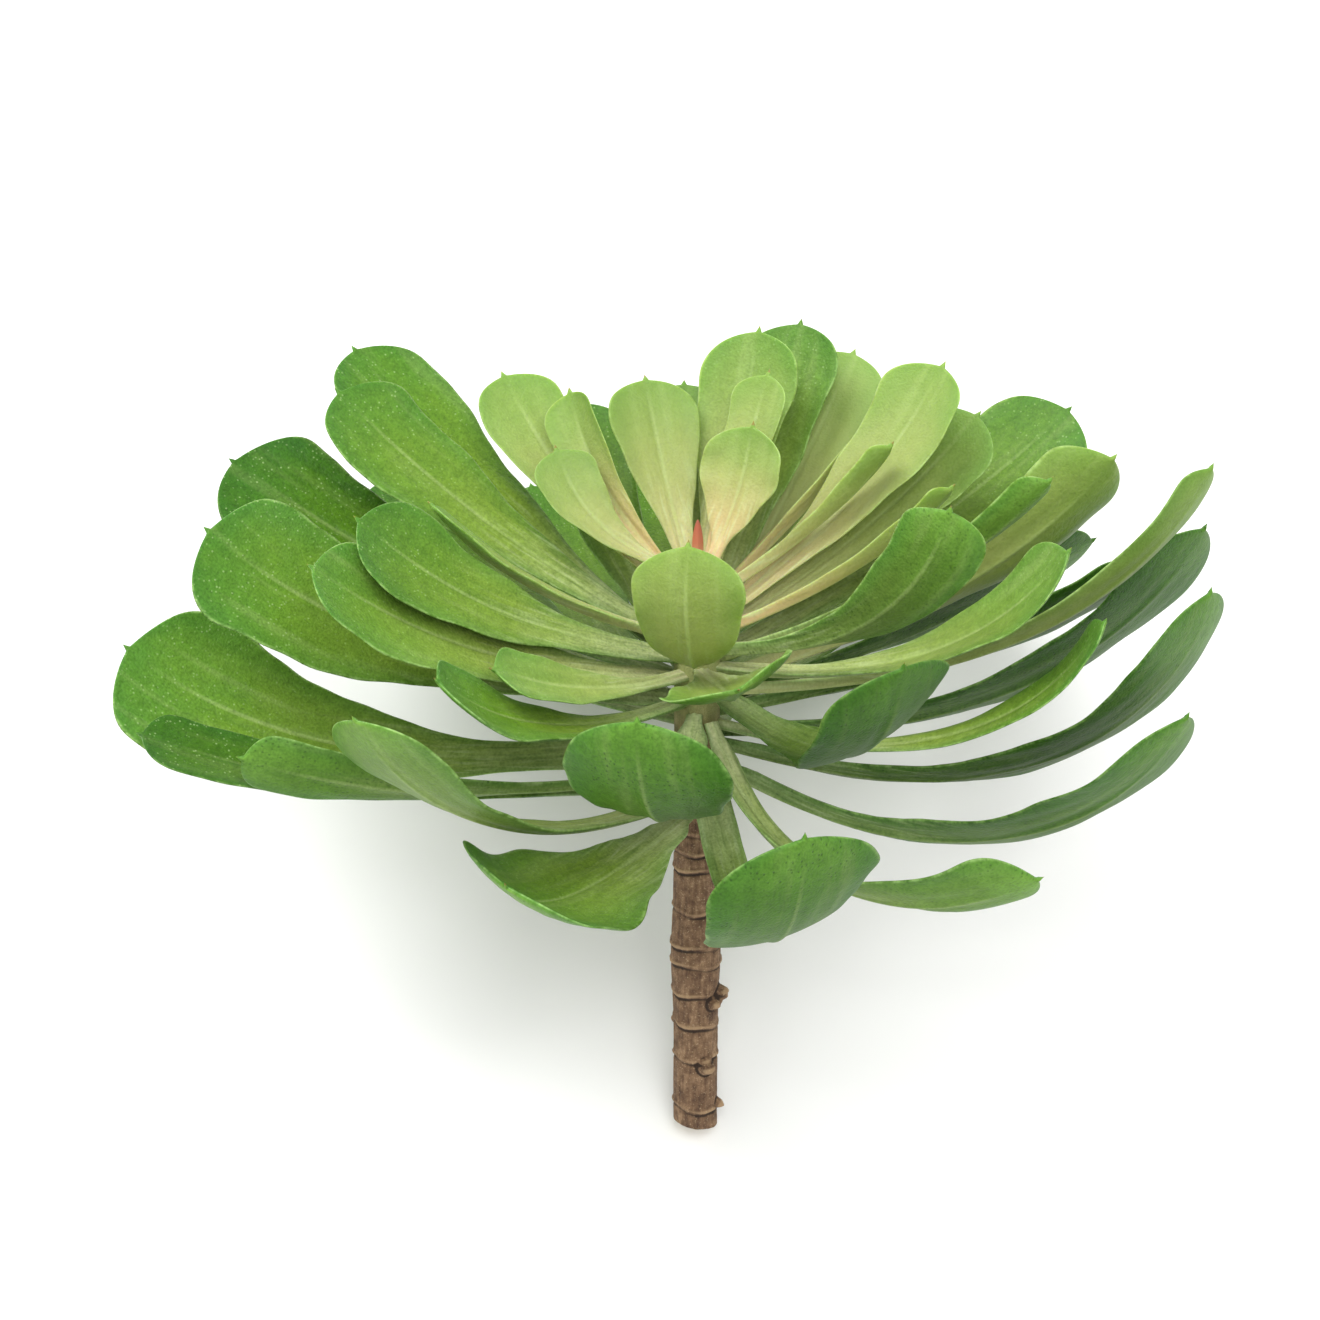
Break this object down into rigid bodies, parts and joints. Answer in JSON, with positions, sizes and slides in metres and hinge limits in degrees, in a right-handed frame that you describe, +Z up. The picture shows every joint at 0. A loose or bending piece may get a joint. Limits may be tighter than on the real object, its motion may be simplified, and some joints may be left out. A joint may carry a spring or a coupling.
{
  "type": "cut succulent rosette",
  "caption": "Open rosette of long spoon-shaped succulent leaves on a bare woody stem, cut off and lying on its leaf tips and the cut end.",
  "frame": {"origin": "centre of the footprint at the surface that the plant lies on", "axes": "+Z up; +X along the rosette's longest width; the stem's cut end points to -Y and the rosette leans back to +Y"},
  "size_m": [0.201, 0.1472, 0.121],
  "materials": {
    "inner_leaf": "living leaf, pale yellow-green, satin waxy skin",
    "middle_leaf": "living leaf, mid green, satin waxy skin",
    "outer_leaf": "living leaf, deep green, satin waxy skin, ribbed pale stalk",
    "bud": "young leaf tips, orange-red, satin",
    "stem": "brown bark with pale leaf scars, dry and matt"
  },
  "bodies": {
    "root": {"stem": "stem", "bud": "bud", "inner_back_1": "inner_leaf", "inner_back_2": "inner_leaf", "inner_back_3": "inner_leaf", "inner_back_4": "inner_leaf", "inner_back_5": "inner_leaf", "inner_back_6": "inner_leaf", "inner_back_7": "inner_leaf", "inner_front_1": "inner_leaf", "inner_left_1": "inner_leaf", "inner_right_1": "inner_leaf", "inner_right_2": "inner_leaf", "inner_right_3": "inner_leaf", "inner_right_4": "inner_leaf", "middle_back_1": "middle_leaf", "middle_back_2": "middle_leaf", "middle_back_3": "middle_leaf", "middle_back_4": "middle_leaf", "middle_front_1": "middle_leaf", "middle_front_2": "middle_leaf", "middle_front_3": "middle_leaf", "middle_left_1": "middle_leaf", "middle_left_2": "middle_leaf", "middle_left_3": "middle_leaf", "middle_right_1": "middle_leaf", "middle_right_2": "middle_leaf", "middle_right_3": "middle_leaf", "middle_right_4": "middle_leaf", "middle_right_5": "middle_leaf", "middle_right_6": "middle_leaf", "outer_back_1": "outer_leaf", "outer_back_2": "outer_leaf", "outer_back_3": "outer_leaf", "outer_back_4": "outer_leaf", "outer_back_5": "outer_leaf", "outer_back_6": "outer_leaf", "outer_front_1": "outer_leaf", "outer_front_2": "outer_leaf", "outer_front_3": "outer_leaf", "outer_front_4": "outer_leaf", "outer_front_5": "outer_leaf", "outer_left_1": "outer_leaf", "outer_left_2": "outer_leaf", "outer_left_3": "outer_leaf", "outer_left_4": "outer_leaf", "outer_left_5": "outer_leaf", "outer_left_6": "outer_leaf", "outer_left_7": "outer_leaf", "outer_right_1": "outer_leaf", "outer_right_2": "outer_leaf", "outer_right_3": "outer_leaf", "outer_right_4": "outer_leaf", "outer_right_5": "outer_leaf", "outer_right_6": "outer_leaf", "outer_right_7": "outer_leaf"}
  },
  "joints": []
}
